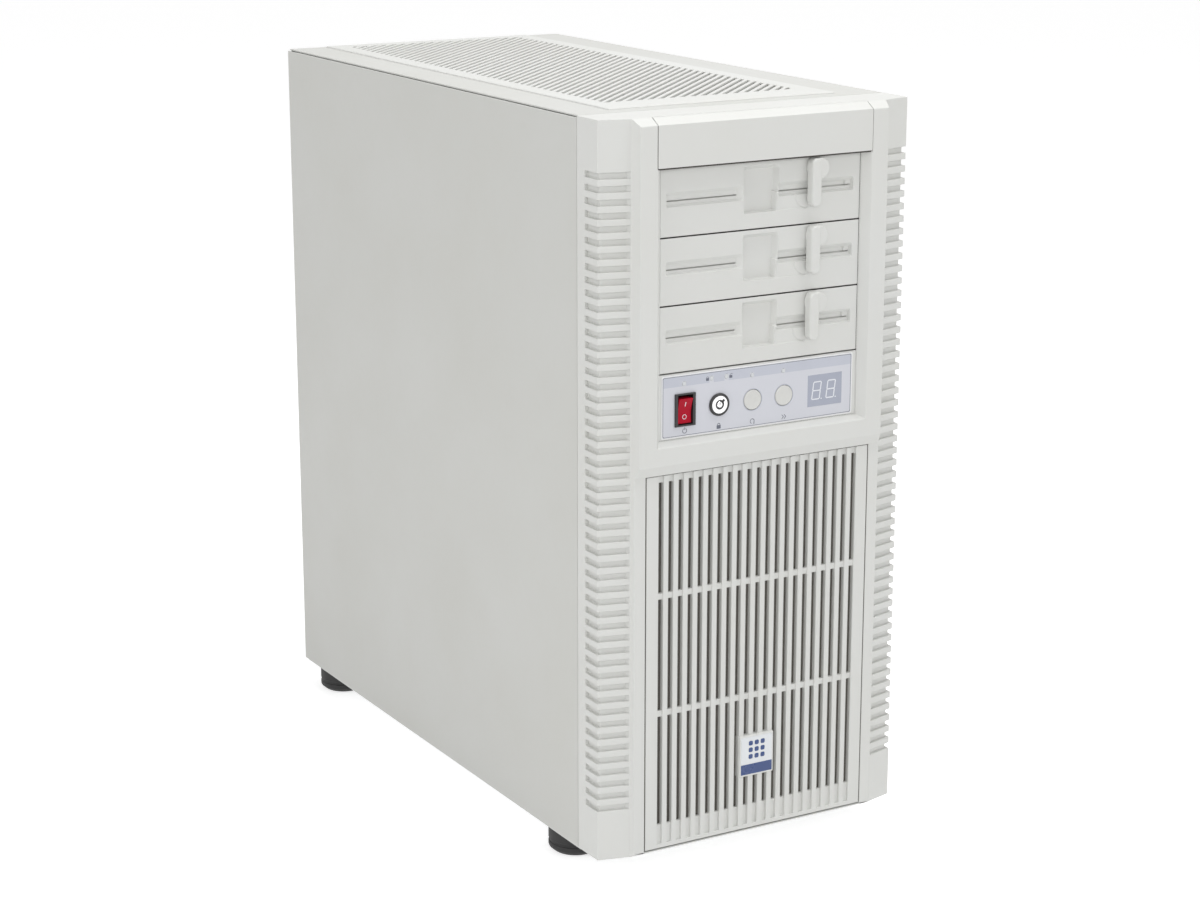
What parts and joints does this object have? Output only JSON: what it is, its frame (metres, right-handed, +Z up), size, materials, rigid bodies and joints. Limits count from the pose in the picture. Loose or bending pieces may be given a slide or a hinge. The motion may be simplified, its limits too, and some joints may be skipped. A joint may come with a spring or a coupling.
{
  "type": "desktop computer tower",
  "caption": "Off-white desktop computer tower with comb-vented corners, three drive bays with levers, a control panel, a slotted front grille and a slotted top.",
  "frame": {"origin": "on the ground under the middle of the width and of the depth", "axes": "+Z up, the front faces -Y, +X to the right seen from the front"},
  "size_m": [0.2274, 0.4792, 0.4944],
  "materials": {
    "case_plastic": "fine textured off-white plastic",
    "case_paint": "off-white powder coat",
    "zinc_steel": "zinc-plated sheet steel",
    "overlay_print": "grey-blue printed film",
    "red_plastic": "dark red",
    "black_plastic": "black",
    "smoked_lens": "smoked lens",
    "clear_lens": "diffuse lens",
    "lock_chrome": "polished",
    "board_green": "solder mask",
    "rubber_black": "matt",
    "filter_mesh": "nylon mesh",
    "fin_aluminium": "bare",
    "screw_steel": "nickel plated",
    "psu_paint": "black coat"
  },
  "bodies": {
    "chassis": {"base_pan": "zinc_steel", "rear_panel": "zinc_steel", "front_plate": "zinc_steel", "motherboard_tray": "zinc_steel", "top_frame": "zinc_steel", "bay_cage": "zinc_steel", "drive_cage": "zinc_steel", "top_cover": "case_paint", "foot_screws": "screw_steel", "flap_hinge_pins": "screw_steel", "standoffs": "screw_steel", "feet": "rubber_black", "front_bezel": "case_plastic", "io_module": "black_plastic", "bay_cover_1": "case_plastic", "bay_cover_2": "case_plastic", "bay_cover_3": "case_plastic", "control_panel": "case_plastic", "control_overlay": "overlay_print", "power_switch_housing": "black_plastic", "lock_barrel": "lock_chrome", "display_window": "smoked_lens", "led_lenses": "clear_lens", "control_board": "board_green", "front_fan_frame_lower": "black_plastic", "front_fan_frame_upper": "black_plastic", "rear_fan_frame": "black_plastic", "power_supply": "psu_paint", "motherboard": "board_green", "io_shield": "zinc_steel", "cpu_cooler": "fin_aluminium", "memory_modules": "board_green", "graphics_card": "black_plastic", "slot_covers": "zinc_steel", "hard_drives": "fin_aluminium", "main_power_cable": "black_plastic"},
    "left_panel": {"left_side_panel": "case_paint", "left_thumbscrews": "screw_steel"},
    "right_panel": {"right_side_panel": "case_paint", "right_thumbscrews": "screw_steel"},
    "vent_panel": {"top_vent_panel": "case_plastic", "top_dust_filter": "filter_mesh"},
    "grille": {"front_grille": "case_plastic", "front_dust_filter": "filter_mesh", "badge": "case_plastic"},
    "flap": {"top_flap": "case_plastic"},
    "rocker": {"power_rocker": "red_plastic"},
    "lock": {"lock_cylinder": "lock_chrome"},
    "reset": {"reset_button": "case_plastic"},
    "turbo": {"turbo_button": "case_plastic"},
    "lever_1": {"bay_lever_1": "case_plastic"},
    "lever_2": {"bay_lever_2": "case_plastic"},
    "lever_3": {"bay_lever_3": "case_plastic"},
    "lower_front_rotor": {"front_fan_rotor_lower": "black_plastic"},
    "upper_front_rotor": {"front_fan_rotor_upper": "black_plastic"},
    "rear_rotor": {"rear_fan_rotor": "black_plastic"},
    "supply_rotor": {"psu_fan_rotor": "black_plastic"},
    "cooler_rotor": {"cpu_fan_rotor": "black_plastic"},
    "card_rotor": {"card_fan_rotor": "black_plastic"},
    "supply_rocker": {"psu_rocker": "black_plastic"}
  },
  "joints": [
    {"name": "left_panel_slide", "type": "slide", "parent": "chassis", "child": "left_panel", "axis": [0, 1, 0], "range_m": [0, 0.445]},
    {"name": "right_panel_slide", "type": "slide", "parent": "chassis", "child": "right_panel", "axis": [0, 1, 0], "range_m": [0, 0.445]},
    {"name": "vent_panel_lift", "type": "slide", "parent": "chassis", "child": "vent_panel", "axis": [0, 0, 1], "range_m": [0, 0.08]},
    {"name": "grille_pull", "type": "slide", "parent": "chassis", "child": "grille", "axis": [0, -1, 0], "range_m": [0, 0.06]},
    {"name": "flap_hinge", "type": "hinge", "parent": "chassis", "child": "flap", "pos_m": [0, -0.231, 0.4912], "axis": [-1, 0, 0], "range_deg": [0, 100]},
    {"name": "power_rocker_tilt", "type": "hinge", "parent": "chassis", "child": "rocker", "pos_m": [-0.055, -0.228, 0.311], "axis": [-1, 0, 0], "range_deg": [0, 16]},
    {"name": "lock_turn", "type": "hinge", "parent": "chassis", "child": "lock", "pos_m": [-0.03, -0.2234, 0.3113], "axis": [0, -1, 0], "range_deg": [0, 90]},
    {"name": "reset_press", "type": "slide", "parent": "chassis", "child": "reset", "axis": [0, 1, 0], "range_m": [0, 0.0012], "stiffness_N_per_m": 800},
    {"name": "turbo_press", "type": "slide", "parent": "chassis", "child": "turbo", "axis": [0, 1, 0], "range_m": [0, 0.0012], "stiffness_N_per_m": 800},
    {"name": "lever_1_turn", "type": "hinge", "parent": "chassis", "child": "lever_1", "pos_m": [0.0395, -0.2354, 0.4548], "axis": [0, 1, 0], "range_deg": [0, 90]},
    {"name": "lever_2_turn", "type": "hinge", "parent": "chassis", "child": "lever_2", "pos_m": [0.0395, -0.2354, 0.4124], "axis": [0, 1, 0], "range_deg": [0, 90]},
    {"name": "lever_3_turn", "type": "hinge", "parent": "chassis", "child": "lever_3", "pos_m": [0.0395, -0.2354, 0.37], "axis": [0, 1, 0], "range_deg": [0, 90]},
    {"name": "lower_front_fan_spin", "type": "hinge", "parent": "chassis", "child": "lower_front_rotor", "pos_m": [0, -0.2134, 0.085], "axis": [0, -1, 0], "continuous": true},
    {"name": "upper_front_fan_spin", "type": "hinge", "parent": "chassis", "child": "upper_front_rotor", "pos_m": [0, -0.2134, 0.21], "axis": [0, -1, 0], "continuous": true},
    {"name": "rear_fan_spin", "type": "hinge", "parent": "chassis", "child": "rear_rotor", "pos_m": [-0.035, 0.2176, 0.4], "axis": [0, -1, 0], "continuous": true},
    {"name": "supply_fan_spin", "type": "hinge", "parent": "chassis", "child": "supply_rotor", "pos_m": [0.01, 0.1602, 0.034], "axis": [0, 0, 1], "continuous": true},
    {"name": "cooler_fan_spin", "type": "hinge", "parent": "chassis", "child": "cooler_rotor", "pos_m": [0.017, 0.0916, 0.392], "axis": [-1, 0, 0], "continuous": true},
    {"name": "card_fan_spin", "type": "hinge", "parent": "chassis", "child": "card_rotor", "pos_m": [0.022, 0.1086, 0.235], "axis": [0, 0, 1], "continuous": true},
    {"name": "supply_rocker_tilt", "type": "hinge", "parent": "chassis", "child": "supply_rocker", "pos_m": [0.02, 0.2242, 0.08], "axis": [-1, 0, 0], "range_deg": [0, 16]}
  ]
}
